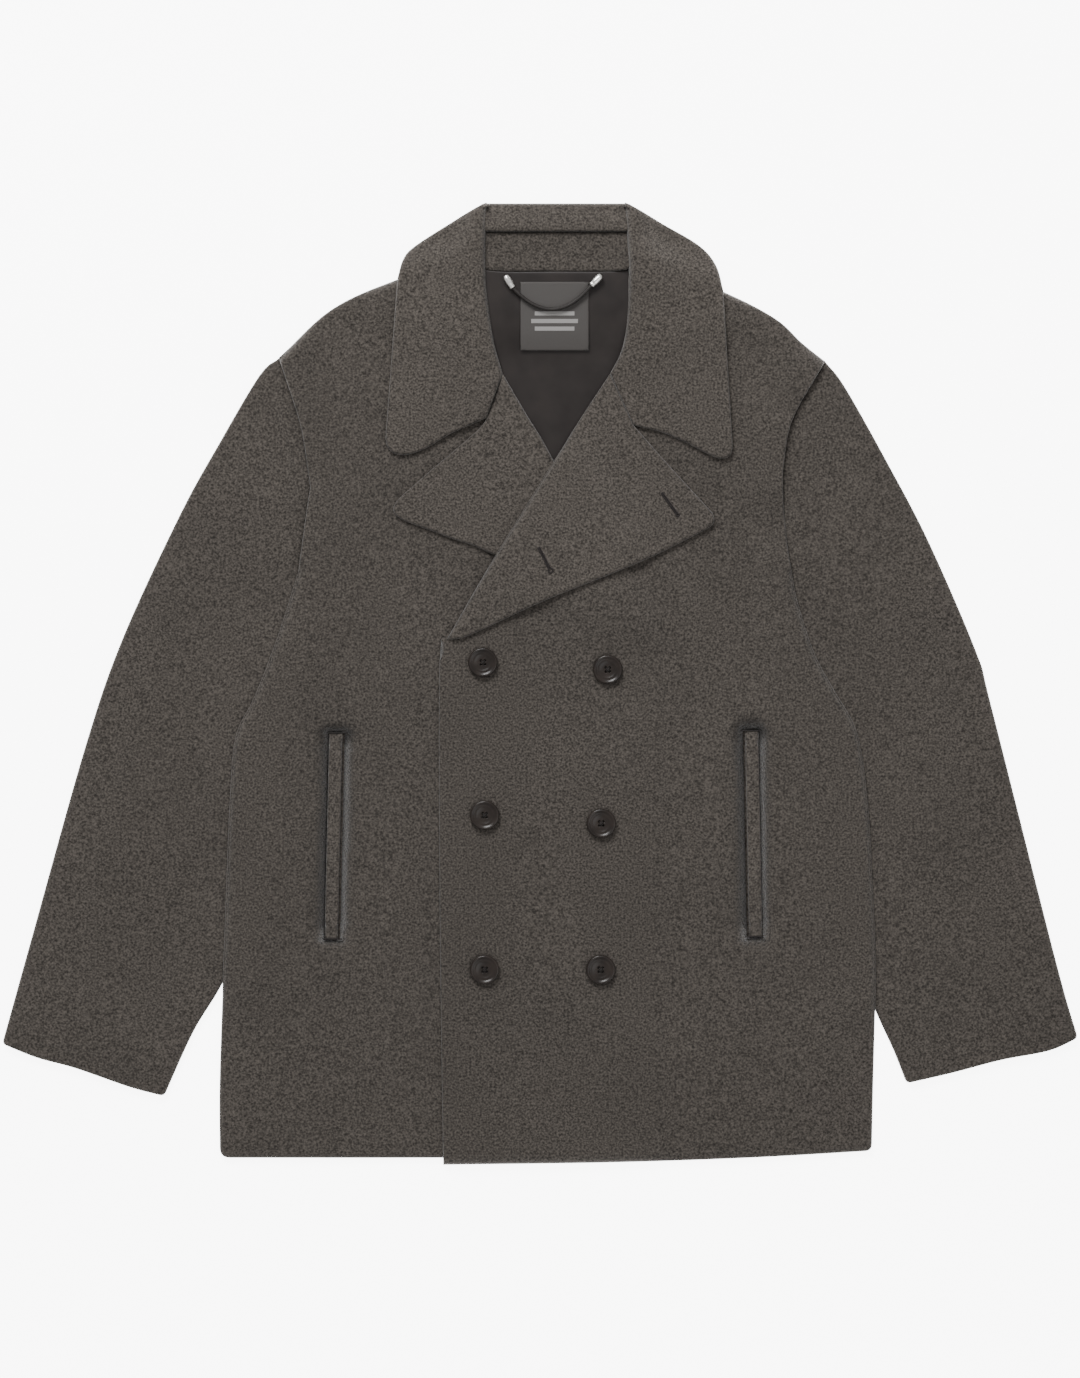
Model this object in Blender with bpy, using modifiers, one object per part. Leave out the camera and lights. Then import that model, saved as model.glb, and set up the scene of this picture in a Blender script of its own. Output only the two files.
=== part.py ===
"""Double-breasted pea coat in charcoal melton, laid flat on its back with the sleeves spread.

Every cloth piece is cut from a sheet that already lies in its place: a sheet is a grid of cells
whose heights come from the pieces below it, and a pattern, an upright prism over the piece's
outline, cuts it out. All sheets share one grid, so a piece can never cut into the one it lies on.
X runs across the coat, +X to the wearer's left; +Y runs from hem to collar; +Z is up.
Tables are in millimetres, in the plane of the table the coat lies on.
"""

import math

import bmesh
import bpy
import numpy as np

MM = 0.001

MELTON = 3.0  # wall of a body or sleeve panel: heavy melton with what backs it
DOUBLED = 4.5  # wall of the collar and lapels: two layers of melton turned and pressed
LINING = 1.0
LABEL = 0.6
SEAM = 0.3  # open line between two pieces sewn edge to edge
REST = 0.5  # air under a piece that lies on another
CELL = 20.0  # side of a sheet's cells
SHEET_HALF = (26, 23)  # cells from the middle of a sheet to its sides, across and along
FINE = 8  # samples to a cell when two outlines are compared
SPACING = 17.0  # between the points of a curved edge
PATTERN_TOP = 60.0

BUTTON_RADIUS = 12.7
BUTTON_THICK = 4.2
BUTTON_STEPS = 22
BUTTON_HOLE_RADIUS = 1.1
BUTTON_HOLE_OUT = 2.3  # from the button's axis to the axis of a hole
BUTTON_AIR = 0.4
RIM_SAMPLES = 33

CORD_RADIUS = 1.6
CORD_SPACING = 2.6
CAP_RADIUS = 3.1
CAP_LENGTH = 13.0
NECK_AIR = 0.3

POCKET_SLIT = 1.2  # width of the pocket's mouth
WELT = 13.0  # width of the pocket's welt
FOLD_INSET = 0.6  # how far a fold's wall stays inside the two layers it joins
SHOULDER_CLEARANCE = 12.0  # from the shoulder's outline to where the collar folds over it
FLAT_ANGLE = math.radians(0.05)

# Edges of the pattern pieces: x, y of the few points each needs. "right" and "left" are the wearer's.
EDGES = {
    "shoulder_right": ((-224, 280), (-180, 321), (-126, 346), (-56, 366)),
    "shoulder_left": ((84, 364), (157, 337), (202, 314), (225, 293), (245, 277)),
    "neck": ((-56, 366), (-45, 355), (14, 354), (73, 355), (84, 364)),
    "armhole_right": ((-224, 280), (-217, 259), (-205, 221), (-199, 183), (-197, 169)),
    "armhole_left": ((245, 277), (224, 242), (213, 216), (208, 181)),
    "underarm_right": ((-197, 169), (-202, 134), (-207, 97)),
    "underarm_left": ((208, 181), (209, 152), (213, 113), (216, 95)),
    "side_right": (
        (-207, 97), (-226, 38), (-245, -11), (-261, -45), (-266, -100), (-270, -199),
        (-275, -335), (-275, -407),
    ),
    "side_left": (
        (216, 95), (221, 70), (235, 27), (252, -5), (272, -42), (281, -101), (285, -165),
        (288, -250), (286, -353), (285, -401),
    ),
    "hem_right": ((-275, -407), (-84, -407), (92, -406)),
    "hem_left": ((-83, -413), (60, -411), (180, -407), (285, -401)),
    "hem_back": ((-275, -405), (0, -404), (285, -399)),
    "front_right": ((92, -406), (92, -180), (88, 45)),
    "front_left": ((-83, -413), (-86, -180), (-86, 20), (-80, 38)),
    "roll_right": ((88, 45), (12, 191), (-11, 230), (-32, 266)),
    "roll_left": ((-80, 38), (-40, 107), (12, 191), (35, 228), (60, 266)),
    "neckline_right": ((-32, 266), (-40, 295), (-46, 337), (-47, 354)),
    "neckline_left": ((60, 266), (70, 286), (75, 314), (76, 354)),
    "gorge_right": ((-32, 266), (-46, 228)),
    "gorge_left": ((60, 266), (80, 222)),
    "lapel_upper_right": ((-46, 228), (-53, 218), (-95, 182), (-135, 147)),
    "lapel_lower_right": ((-135, 147), (-76, 125), (-40, 111), (88, 45)),
    "lapel_upper_left": ((80, 222), (110, 188), (155, 139)),
    "lapel_lower_left": ((155, 139), (89, 106), (3, 71), (-60, 42), (-80, 38)),
    "wing_lower_right": ((-46, 228), (-76, 215), (-103, 200), (-134, 192)),
    "wing_lower_left": ((80, 222), (110, 214), (149, 195), (166, 190)),
    "wing_outer_right": ((-134, 192), (-122, 348)),
    "wing_outer_left": ((166, 190), (165, 210), (157, 337)),
    "wing_top_right": ((-122, 348), (-117, 365), (-107, 376), (-76, 396), (-46, 413)),
    "wing_top_left": ((157, 337), (151, 359), (137, 376), (105, 395), (73, 413)),
    "wing_roll_right": ((-32, 266), (-40, 295), (-46, 337), (-47, 370), (-46, 413)),
    "wing_roll_left": ((60, 266), (70, 286), (75, 314), (76, 354), (73, 413)),
    "collar_top": ((-46, 413), (73, 413)),
    "collar_behind": ((157, 337), (135, 327), (90, 323), (-60, 323), (-100, 330), (-122, 348)),
    "sleeve_outer_right": (
        (-224, 280), (-241, 265), (-276, 206), (-310, 144), (-359, 38), (-391, -55),
        (-437, -219), (-462, -309),
    ),
    "sleeve_outer_left": (
        (245, 277), (262, 255), (298, 191), (334, 122), (375, 27), (388, -20),
        (443, -237), (462, -304),
    ),
    "cuff_right": ((-462, -309), (-432, -321), (-399, -330), (-353, -346), (-323, -354)),
    "cuff_left": ((462, -304), (437, -315), (396, -323), (354, -334), (315, -343)),
    "sleeve_inner_right": (
        (-323, -354), (-298, -299), (-272, -255), (-254, -205), (-243, -130), (-236, -60),
        (-220, 0), (-207, 55), (-207, 97),
    ),
    "sleeve_inner_left": (
        (315, -343), (304, -315), (289, -282), (276, -245), (262, -170), (256, -100),
        (246, -50), (230, 0), (216, 55), (216, 95),
    ),
    "stand_side_right": ((-56, 366), (-54, 388)),
    "stand_side_left": ((84, 364), (82, 388)),
    "stand_top": ((-54, 388), (82, 388)),
    "roll_band_side_right": ((-54, 388), (-50, 412)),
    "roll_band_side_left": ((82, 388), (77, 412)),
    "roll_band_top": ((-50, 412), (77, 412)),
    "lining_side_right": ((-56, 366), (-62, 300), (-48, 240), (12, 168)),
    "lining_side_left": ((84, 364), (92, 300), (76, 240), (12, 168)),
}

# Outline of each cut piece: its edges in order, "-" before one that is walked backwards.
OUTLINES = {
    "back": (
        "neck", "shoulder_left", "armhole_left", "underarm_left", "side_left", "-hem_back",
        "-side_right", "-underarm_right", "-armhole_right", "shoulder_right",
    ),
    "front_right": (
        "shoulder_right", "-neckline_right", "-roll_right", "-front_right", "-hem_right",
        "-side_right", "-underarm_right", "-armhole_right",
    ),
    "front_left": (
        "shoulder_left", "armhole_left", "underarm_left", "side_left", "-hem_left",
        "front_left", "roll_left", "neckline_left",
    ),
    "lapel_right": ("roll_right", "gorge_right", "lapel_upper_right", "lapel_lower_right"),
    "lapel_left": ("roll_left", "gorge_left", "lapel_upper_left", "lapel_lower_left"),
    "sleeve_right": (
        "sleeve_outer_right", "cuff_right", "sleeve_inner_right", "-underarm_right",
        "-armhole_right",
    ),
    "sleeve_left": (
        "sleeve_outer_left", "cuff_left", "sleeve_inner_left", "-underarm_left",
        "-armhole_left",
    ),
    "wing_right": (
        "gorge_right", "wing_lower_right", "wing_outer_right", "wing_top_right",
        "-wing_roll_right",
    ),
    "wing_left": (
        "gorge_left", "wing_lower_left", "wing_outer_left", "wing_top_left",
        "-wing_roll_left",
    ),
    "fall_behind": ("collar_top", "-wing_top_left", "collar_behind", "wing_top_right"),
    "collar_stand": ("neck", "stand_side_left", "-stand_top", "-stand_side_right"),
    "roll_band": ("stand_top", "roll_band_side_left", "-roll_band_top", "-roll_band_side_right"),
    "neck_lining": ("neck", "lining_side_left", "-lining_side_right"),
}

# Rounded corners: the edge that ends at the corner, and how far back the rounding starts.
ROUNDING = {
    "lapel_upper_right": 22.0,
    "lapel_upper_left": 14.0,
    "wing_lower_right": 24.0,
    "wing_lower_left": 16.0,
    "front_left": 5.0,
    "side_right": 9.0,
    "side_left": 6.0,
    "cuff_right": 4.0,
    "cuff_left": 4.0,
    "sleeve_outer_right": 4.0,
    "sleeve_outer_left": 4.0,
}

# Pocket mouths: side of the coat, x and y of the upper and of the lower end, way to the side seam.
POCKETS = {
    "right": {"top": (-168.0, -42.0), "bottom": (-172.0, -219.0), "outward": -1},
    "left": {"top": (174.5, -40.0), "bottom": (178.0, -217.0), "outward": 1},
}

# Buttons, in rows from the lapel to the hem: x and y.
BUTTONS = {
    "button_1": (-49.0, 18.5),
    "button_2": (58.0, 12.4),
    "button_3": (-47.5, -112.5),
    "button_4": (52.5, -119.5),
    "button_5": (-47.5, -244.8),
    "button_6": (52.0, -244.8),
}

LABEL_BOX = (-17.0, 286.0, 42.0, 345.0)  # x and y of its lower left and upper right corners
# The hanging cord sags between its two caps: x and y of its ends and of its lowest point.
LOOP = {"right": (-23.0, 339.0), "low": (11.0, 321.0), "left": (43.5, 341.0)}
LOOP_CAPS = {"right": (-29.0, 348.5), "left": (52.0, 349.5)}

# Turned section of a button from its upper face's middle round to its lower face: radius and height.
BUTTON_SECTION = (
    (0.0, 2.6), (5.6, 2.6), (7.6, 3.3), (9.0, 3.0), (10.8, BUTTON_THICK),
    (12.2, 3.7), (BUTTON_RADIUS, 2.4), (11.9, 0.9), (9.0, 0.0), (0.0, 0.0),
)

# Finish of each part: colour, roughness, metallic value.
FINISHES = {
    "melton": ((0.070, 0.061, 0.054), 0.95, 0.0),
    "lining": ((0.018, 0.014, 0.012), 0.55, 0.0),
    "label": ((0.030, 0.027, 0.024), 0.75, 0.0),
    "cord": ((0.010, 0.009, 0.008), 0.60, 0.0),
    "cap": ((0.62, 0.61, 0.58), 0.30, 1.0),
    "button": ((0.016, 0.012, 0.010), 0.35, 0.0),
}


def clear_scene():
    for thing in list(bpy.data.objects):
        bpy.data.objects.remove(thing, do_unlink=True)


def make_collection(name):
    made = bpy.data.collections.new(name)
    bpy.context.scene.collection.children.link(made)
    return made


def finish_of(piece, name):
    """A material of this piece's own, in one of the coat's finishes."""
    colour, roughness, metallic = FINISHES[name]
    material = bpy.data.materials.new(f"{piece}_{name}")
    material.use_nodes = True
    shader = material.node_tree.nodes["Principled BSDF"]
    shader.inputs["Base Color"].default_value = (*colour, 1.0)
    shader.inputs["Roughness"].default_value = roughness
    shader.inputs["Metallic"].default_value = metallic
    return material


def smooth_run(points):
    """A Catmull-Rom curve through the points, read about every SPACING."""
    knots = np.array(points, float)
    if len(knots) == 2:
        return knots
    padded = np.vstack([2 * knots[0] - knots[1], knots, 2 * knots[-1] - knots[-2]])
    runs = []
    for before, start, end, after in zip(padded, padded[1:], padded[2:], padded[3:]):
        steps = max(1, round(np.linalg.norm(end - start) / SPACING))
        t = np.arange(steps)[:, None] / steps
        runs.append(
            0.5 * (2 * start + (end - before) * t
                   + (2 * before - 5 * start + 4 * end - after) * t**2
                   + (3 * start - before - 3 * end + after) * t**3)
        )
    return np.vstack([*runs, knots[-1:]])


def shortened(run, cut):
    """The run without its last `cut` millimetres."""
    lengths = np.concatenate([[0], np.cumsum(np.linalg.norm(np.diff(run, axis=0), axis=1))])
    stop = lengths[-1] - cut
    kept = run[lengths < stop - 0.5]
    end = [np.interp(stop, lengths, run[:, axis]) for axis in (0, 1)]
    return np.vstack([kept, end])


def outline(names):
    """The closed outline that these edges make, anticlockwise, with its corners rounded."""
    runs = []
    rounded = []
    for name in names:
        plain = name.lstrip("-")
        run = smooth_run(EDGES[plain])
        runs.append(run[::-1] if name.startswith("-") else run)
        rounded.append(plain)
    corners = []
    for place, name in enumerate(names):
        following = names[(place + 1) % len(names)]
        ends_it = rounded[place] if not name.startswith("-") else None
        starts_it = following[1:] if following.startswith("-") else None
        corners.append(ROUNDING.get(ends_it, 0.0) or ROUNDING.get(starts_it, 0.0))
    parts = []
    for place, run in enumerate(runs):
        corner = run[-1]
        if corners[place - 1]:
            run = shortened(run[::-1], corners[place - 1])[::-1]
        if corners[place]:
            run = shortened(run, corners[place])
        parts.append(run if corners[place] else run[:-1])
        if corners[place]:
            leaving = shortened(runs[(place + 1) % len(runs)][::-1], corners[place])[-1]
            t = np.array([[0.25], [0.5], [0.75]])
            parts.append((1 - t) ** 2 * run[-1] + 2 * t * (1 - t) * corner + t**2 * leaving)
    return anticlockwise(np.vstack(parts))


def anticlockwise(points):
    x, y = points.T
    area = np.sum(x * np.roll(y, -1) - y * np.roll(x, -1))
    return points if area > 0 else points[::-1]


def inset(points, by):
    """The outline moved inwards by this much, along the mean of each corner's two normals."""
    ahead = np.roll(points, -1, axis=0) - points
    ahead /= np.linalg.norm(ahead, axis=1, keepdims=True)
    normals = np.stack([-ahead[:, 1], ahead[:, 0]], axis=1)
    mean = normals + np.roll(normals, 1, axis=0)
    mean /= np.maximum(np.sum(mean * mean, axis=1, keepdims=True), 0.5) / 2
    return points + by * mean


def covers(points, x, y):
    """Where the outline holds each of the places x, y: an even-odd count of the edges crossed."""
    held = np.zeros(x.shape, bool)
    for (ax, ay), (bx, by) in zip(points, np.roll(points, -1, axis=0)):
        if ay == by:
            continue
        crossing = (ay > y) != (by > y)
        held ^= crossing & (x < ax + (y - ay) * (bx - ax) / (by - ay))
    return held


def neighbours_highest(field, reach):
    """Each place takes the highest value within `reach` places of it."""
    rows, columns = field.shape
    padded = np.pad(field, reach, mode="edge")
    span = range(2 * reach + 1)
    return np.max([padded[r:r + rows, c:c + columns] for r in span for c in span], axis=0)


def softened(field):
    """Each place takes the mean of the nine places round it."""
    rows, columns = field.shape
    padded = np.pad(field, 1, mode="edge")
    return np.mean([padded[r:r + rows, c:c + columns] for r in range(3) for c in range(3)], axis=0)


def lattice(step):
    across = np.arange(-SHEET_HALF[0] * CELL, SHEET_HALF[0] * CELL + step / 2, step)
    along = np.arange(-SHEET_HALF[1] * CELL, SHEET_HALF[1] * CELL + step / 2, step)
    return np.meshgrid(across, along)


class Layers:
    """The coat's pieces from the table up. Each is laid on those below that it covers."""

    def __init__(self):
        self.x, self.y = lattice(CELL)
        self.fine_x, self.fine_y = lattice(CELL / FINE)
        self.laid = []

    def nodes_near(self, fine_mask):
        """The grid's nodes whose cells touch the masked places."""
        return neighbours_highest(fine_mask, FINE)[::FINE, ::FINE]

    def lay(self, points, thick):
        """Heights of the lower face of a piece with this outline, laid on top of what is there."""
        mask = covers(points, self.fine_x, self.fine_y)
        support = np.zeros_like(self.x)
        for lower_mask, lower_top in self.laid:
            near = self.nodes_near(mask & lower_mask)
            support = np.maximum(support, np.where(near, lower_top + REST, 0.0))
        low = softened(neighbours_highest(support, 1))
        self.laid.append((mask, low + thick))
        return low

    def top_under(self, high, x, y, radius):
        """The highest that an upper face comes under the rim of a disc, blended between nodes."""
        turn = np.linspace(0, 2 * math.pi, RIM_SAMPLES)
        across = (x + radius * np.cos(turn)) / CELL + SHEET_HALF[0]
        along = (y + radius * np.sin(turn)) / CELL + SHEET_HALF[1]
        column, row = across.astype(int), along.astype(int)
        part_x, part_y = across - column, along - row
        near = high[row, column] * (1 - part_x) + high[row, column + 1] * part_x
        far = high[row + 1, column] * (1 - part_x) + high[row + 1, column + 1] * part_x
        return (near * (1 - part_y) + far * part_y).max()


def make_pattern(name, points, cutters, low=-PATTERN_TOP, high=PATTERN_TOP):
    """An upright prism over an outline, hidden, that cuts a piece from its sheet."""
    mesh = bmesh.new()
    corners = [mesh.verts.new((x * MM, y * MM, low * MM)) for x, y in points]
    face = mesh.faces.new(corners)
    raised = bmesh.ops.extrude_face_region(mesh, geom=[face])["geom"]
    upper = [item for item in raised if isinstance(item, bmesh.types.BMVert)]
    bmesh.ops.translate(mesh, verts=upper, vec=(0, 0, (high - low) * MM))
    bmesh.ops.recalc_face_normals(mesh, faces=mesh.faces)
    return add_object(f"pattern_{name}", mesh, cutters, hidden=True)


def add_object(name, mesh, collection, hidden=False):
    data = bpy.data.meshes.new(name)
    mesh.to_mesh(data)
    mesh.free()
    thing = bpy.data.objects.new(name, data)
    thing.hide_render = hidden
    if hidden:
        thing.display_type = "WIRE"
    collection.objects.link(thing)
    return thing


def sheet_mesh(layers, low, high, points):
    """The part of the common grid that an outline needs, as a slab between two fields of heights."""
    reach = CELL * 1.01
    left, bottom = points.min(axis=0) - reach
    right, top = points.max(axis=0) + reach
    columns = np.flatnonzero((layers.x[0] > left) & (layers.x[0] < right))
    rows = np.flatnonzero((layers.y[:, 0] > bottom) & (layers.y[:, 0] < top))
    part = np.ix_(rows, columns)
    mesh = bmesh.new()
    bmesh.ops.create_grid(mesh, x_segments=len(columns) - 1, y_segments=len(rows) - 1, size=1)
    bmesh.ops.triangulate(mesh, faces=mesh.faces, quad_method="FIXED")
    lower = sorted(mesh.verts, key=lambda v: (round(v.co.y, 4), round(v.co.x, 4)))
    flat = [field[part].ravel() for field in (layers.x, layers.y, low, high)]
    rise = {}
    for vertex, x, y, bottom_z, top_z in zip(lower, *flat):
        vertex.co = (x * MM, y * MM, bottom_z * MM)
        rise[round(x), round(y)] = top_z * MM
    raised = bmesh.ops.extrude_face_region(mesh, geom=list(mesh.faces))["geom"]
    for item in raised:
        if isinstance(item, bmesh.types.BMVert):
            item.co.z = rise[round(item.co.x / MM), round(item.co.y / MM)]
    bmesh.ops.recalc_face_normals(mesh, faces=mesh.faces)
    return mesh


def boolean(thing, other, operation):
    modifier = thing.modifiers.new(f"{operation.lower()}_{other.name}", "BOOLEAN")
    modifier.operation = operation
    modifier.object = other
    modifier.solver = "EXACT"


def flatten_faces(thing):
    """Joins the faces that lie in one plane, such as the cells of a level stretch."""
    modifier = thing.modifiers.new("level_faces", "DECIMATE")
    modifier.decimate_type = "DISSOLVE"
    modifier.angle_limit = FLAT_ANGLE


class Workroom:
    """Cuts the pieces and keeps them in the coat's collection."""

    def __init__(self):
        self.coat = make_collection("pea_coat")
        self.cutters = make_collection("patterns")
        self.layers = Layers()
        self.parent = bpy.data.objects.new("pea_coat", None)
        self.coat.objects.link(self.parent)

    def keep(self, thing, finish):
        thing.data.materials.append(finish_of(thing.name, finish))
        thing.parent = self.parent
        return thing

    def cut(self, name, points, low, high, collection=None, hidden=False):
        """A piece cut from the sheet between two fields of heights."""
        thing = add_object(
            name, sheet_mesh(self.layers, low, high, points), collection or self.coat, hidden
        )
        boolean(thing, make_pattern(name, points, self.cutters), "INTERSECT")
        return thing

    def lay_piece(self, name, shape, thick, finish):
        """Lays a piece on those already there and cuts it out. Returns it and its lower face."""
        points = inset(outline(OUTLINES[shape]), SEAM / 2)
        low = self.layers.lay(points, thick)
        thing = self.keep(self.cut(name, points, low, low + thick), finish)
        return thing, low


def welt_outline(pocket, reach):
    """The strip beside a pocket's mouth on the side seam's side, `reach` wider all round."""
    top = np.array(pocket["top"])
    bottom = np.array(pocket["bottom"])
    out = np.array((pocket["outward"], 0.0))
    up = np.array((0.0, 1.0))
    corners = (
        top + reach * up - reach * out,
        top + reach * up + (WELT + reach) * out,
        bottom - reach * up + (WELT + reach) * out,
        bottom - reach * up - reach * out,
    )
    return anticlockwise(np.array(corners))


def make_pocket(room, side, front, low):
    """Cuts the pocket's window out of a front and sets the welt in it, with the mouth left open."""
    pocket = POCKETS[side]
    window = make_pattern(f"pocket_{side}", welt_outline(pocket, SEAM), room.cutters)
    boolean(front, window, "DIFFERENCE")
    strip = welt_outline(pocket, 0.0)
    inner = strip[:, 0] * pocket["outward"] < (strip[:, 0] * pocket["outward"]).mean()
    strip[inner, 0] += pocket["outward"] * (POCKET_SLIT - SEAM)
    welt = room.cut(f"pocket_welt_{side}", strip, low, low + MELTON)
    room.keep(welt, "melton")
    flatten_faces(welt)


def fold_wall(room, name, edge, low, high):
    """The upright wall of a fold that joins a layer below to one above along an edge."""
    run = smooth_run(EDGES[edge])
    if edge != "collar_top":
        run = shortened(run[::-1], SHOULDER_CLEARANCE)[::-1]
    strip = np.vstack([run, run[::-1] - DOUBLED * fold_inwards(run)[::-1]])
    points = inset(anticlockwise(strip), FOLD_INSET)
    return room.cut(name, points, low, high, room.cutters, hidden=True)


def fold_inwards(run):
    """Unit steps out of the collar at each point of an edge: away from the collar's middle."""
    along = np.gradient(run, axis=0)
    along /= np.linalg.norm(along, axis=1, keepdims=True)
    across = np.stack([-along[:, 1], along[:, 0]], axis=1)
    middle = np.array((14.0, 300.0))
    turned = np.sum(across * (run - middle), axis=1, keepdims=True)
    return np.where(turned < 0, -across, across)


def make_sleeves(room):
    for side in ("right", "left"):
        for layer in ("under", "top"):
            thing, _ = room.lay_piece(f"sleeve_{layer}_{side}", f"sleeve_{side}", MELTON, "melton")
            flatten_faces(thing)


def make_button(room, name, place, top):
    profile = bpy.data.meshes.new(name)
    points = [(radius * MM, 0.0, height * MM) for radius, height in BUTTON_SECTION]
    profile.from_pydata(points, [(i, i + 1) for i in range(len(points) - 1)], [])
    thing = bpy.data.objects.new(name, profile)
    room.coat.objects.link(thing)
    turn = thing.modifiers.new("turned", "SCREW")
    turn.axis = "Z"
    turn.steps = BUTTON_STEPS
    turn.render_steps = BUTTON_STEPS
    turn.use_merge_vertices = True
    turn.merge_threshold = 0.00001
    thing.location = (place[0] * MM, place[1] * MM, (top + BUTTON_AIR) * MM)
    for number in range(4):
        angle = math.radians(45 + 90 * number)
        hole = bmesh.new()
        bmesh.ops.create_cone(
            hole, cap_ends=True, segments=8, radius1=BUTTON_HOLE_RADIUS * MM,
            radius2=BUTTON_HOLE_RADIUS * MM, depth=3 * BUTTON_THICK * MM,
        )
        drill = add_object(f"drill_{name}_{number}", hole, room.cutters, hidden=True)
        drill.location = (
            thing.location.x + BUTTON_HOLE_OUT * math.cos(angle) * MM,
            thing.location.y + BUTTON_HOLE_OUT * math.sin(angle) * MM,
            thing.location.z,
        )
        boolean(thing, drill, "DIFFERENCE")
    room.keep(thing, "button")
    profile.shade_smooth()


def cut_layer(room, name, points, thick, finish):
    low = room.layers.lay(points, thick)
    thing = room.keep(room.cut(name, points, low, low + thick), finish)
    flatten_faces(thing)
    return low


def make_collar(room, behind, band_low, wings):
    """The leaf: both wings, the fall behind the neck and the roll band, joined along their folds."""
    leaf = room.cut("collar_leaf", behind["points"], behind["low"], behind["low"] + DOUBLED)
    into_lower = behind["low"] + 0.4 * DOUBLED
    band = inset(outline(OUTLINES["roll_band"]), SEAM / 2)
    joined = [room.cut("roll_band", band, band_low, band_low + DOUBLED, room.cutters, True)]
    joined.append(fold_wall(room, "fold_top", "collar_top", into_lower, band_low + 0.6 * DOUBLED))
    for side, low in wings.items():
        points = inset(outline(OUTLINES[f"wing_{side}"]), SEAM / 2)
        joined.append(room.cut(f"wing_{side}", points, low, low + DOUBLED, room.cutters, True))
        joined.append(
            fold_wall(room, f"fold_{side}", f"wing_top_{side}", into_lower, low + 0.6 * DOUBLED)
        )
    for other in joined:
        boolean(leaf, other, "UNION")
    flatten_faces(leaf)
    room.keep(leaf, "melton")


def make_label(room):
    left, bottom, right, top = LABEL_BOX
    points = np.array(((left, bottom), (right, bottom), (right, top), (left, top)))
    return cut_layer(room, "neck_label", points, LABEL, "label")


def make_loop(room, height):
    """The hanging cord, held by a metal cap at each end, sagging over the label."""
    ends = {side: np.array((*LOOP[side], height)) for side in LOOP}
    for side, end in LOOP_CAPS.items():
        outer = np.array((*end, height + CAP_RADIUS - CORD_RADIUS))
        inner = ends[side] + (0, 0, CAP_RADIUS - CORD_RADIUS)
        way = (outer - inner) / np.linalg.norm(outer - inner)
        mesh = bmesh.new()
        bmesh.ops.create_cone(
            mesh, cap_ends=True, segments=16, radius1=CAP_RADIUS * MM,
            radius2=0.8 * CAP_RADIUS * MM, depth=CAP_LENGTH * MM,
        )
        cap = add_object(f"loop_end_{side}", mesh, room.coat)
        middle = inner + way * (CAP_LENGTH / 2 + SEAM)
        cap.location = [value * MM for value in middle]
        cap.rotation_euler = (math.pi / 2, 0, math.atan2(way[1], way[0]) + math.pi / 2)
        room.keep(cap, "cap")
    route = np.array([ends["right"], ends["low"], ends["left"]])
    t = np.linspace(0, 1, 2 * round(np.ptp(route[:, 0]) / CORD_SPACING / 2) + 1)[:, None]
    through = 2 * route[1] - (route[0] + route[2]) / 2
    points = (1 - t) ** 2 * route[0] + 2 * t * (1 - t) * through + t**2 * route[2]
    points[:, 2] += CAP_RADIUS - CORD_RADIUS
    curve = bpy.data.curves.new("hanger_loop", "CURVE")
    curve.dimensions = "3D"
    curve.bevel_depth = CORD_RADIUS * MM
    curve.bevel_resolution = 2
    curve.use_fill_caps = True
    line = curve.splines.new("POLY")
    line.points.add(len(points) - 1)
    for knot, place in zip(line.points, points):
        knot.co = (*(place * MM), 1.0)
    cord = bpy.data.objects.new("hanger_loop", curve)
    room.coat.objects.link(cord)
    room.keep(cord, "cord")


def main():
    clear_scene()
    room = Workroom()
    behind_points = inset(outline(OUTLINES["fall_behind"]), SEAM / 2)
    behind = {"points": behind_points, "low": room.layers.lay(behind_points, DOUBLED)}
    make_sleeves(room)
    back, _ = room.lay_piece("back", "back", MELTON, "melton")
    flatten_faces(back)
    lining, _ = room.lay_piece("neck_lining", "neck_lining", LINING, "lining")
    flatten_faces(lining)
    stand, _ = room.lay_piece("collar_stand", "collar_stand", DOUBLED, "melton")
    flatten_faces(stand)
    band_low = room.layers.lay(inset(outline(OUTLINES["roll_band"]), SEAM / 2), DOUBLED)
    label_low = make_label(room)
    tops = {}
    for side in ("right", "left"):
        front, low = room.lay_piece(f"front_{side}", f"front_{side}", MELTON, "melton")
        make_pocket(room, side, front, low)
        flatten_faces(front)
        lapel, _ = room.lay_piece(f"lapel_{side}", f"lapel_{side}", DOUBLED, "melton")
        flatten_faces(lapel)
        tops[side] = low
    wings = {}
    for side in ("right", "left"):
        points = inset(outline(OUTLINES[f"wing_{side}"]), SEAM / 2)
        wings[side] = room.layers.lay(points, DOUBLED)
    make_collar(room, behind, band_low, wings)
    label_top = (label_low + LABEL)[room.layers.y > LOOP["low"][1] - CELL].max()
    make_loop(room, label_top + NECK_AIR + CORD_RADIUS)
    for name, (x, y) in BUTTONS.items():
        top = room.layers.top_under(tops["left"] + MELTON, x, y, BUTTON_RADIUS)
        make_button(room, name, (x, y), top)


main()
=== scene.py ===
# %% [markdown]
# # A pea coat in heavy wool, laid flat
# The real thing is a stack of cut panels of melton, a dense fulled wool about 3 mm thick.
# We build it as a tailor lays it down: each panel is a thin closed shell over its pattern outline,
# and its height comes from the panels that it lies on. Folds and seams are then pressed into it.

import math

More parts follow.
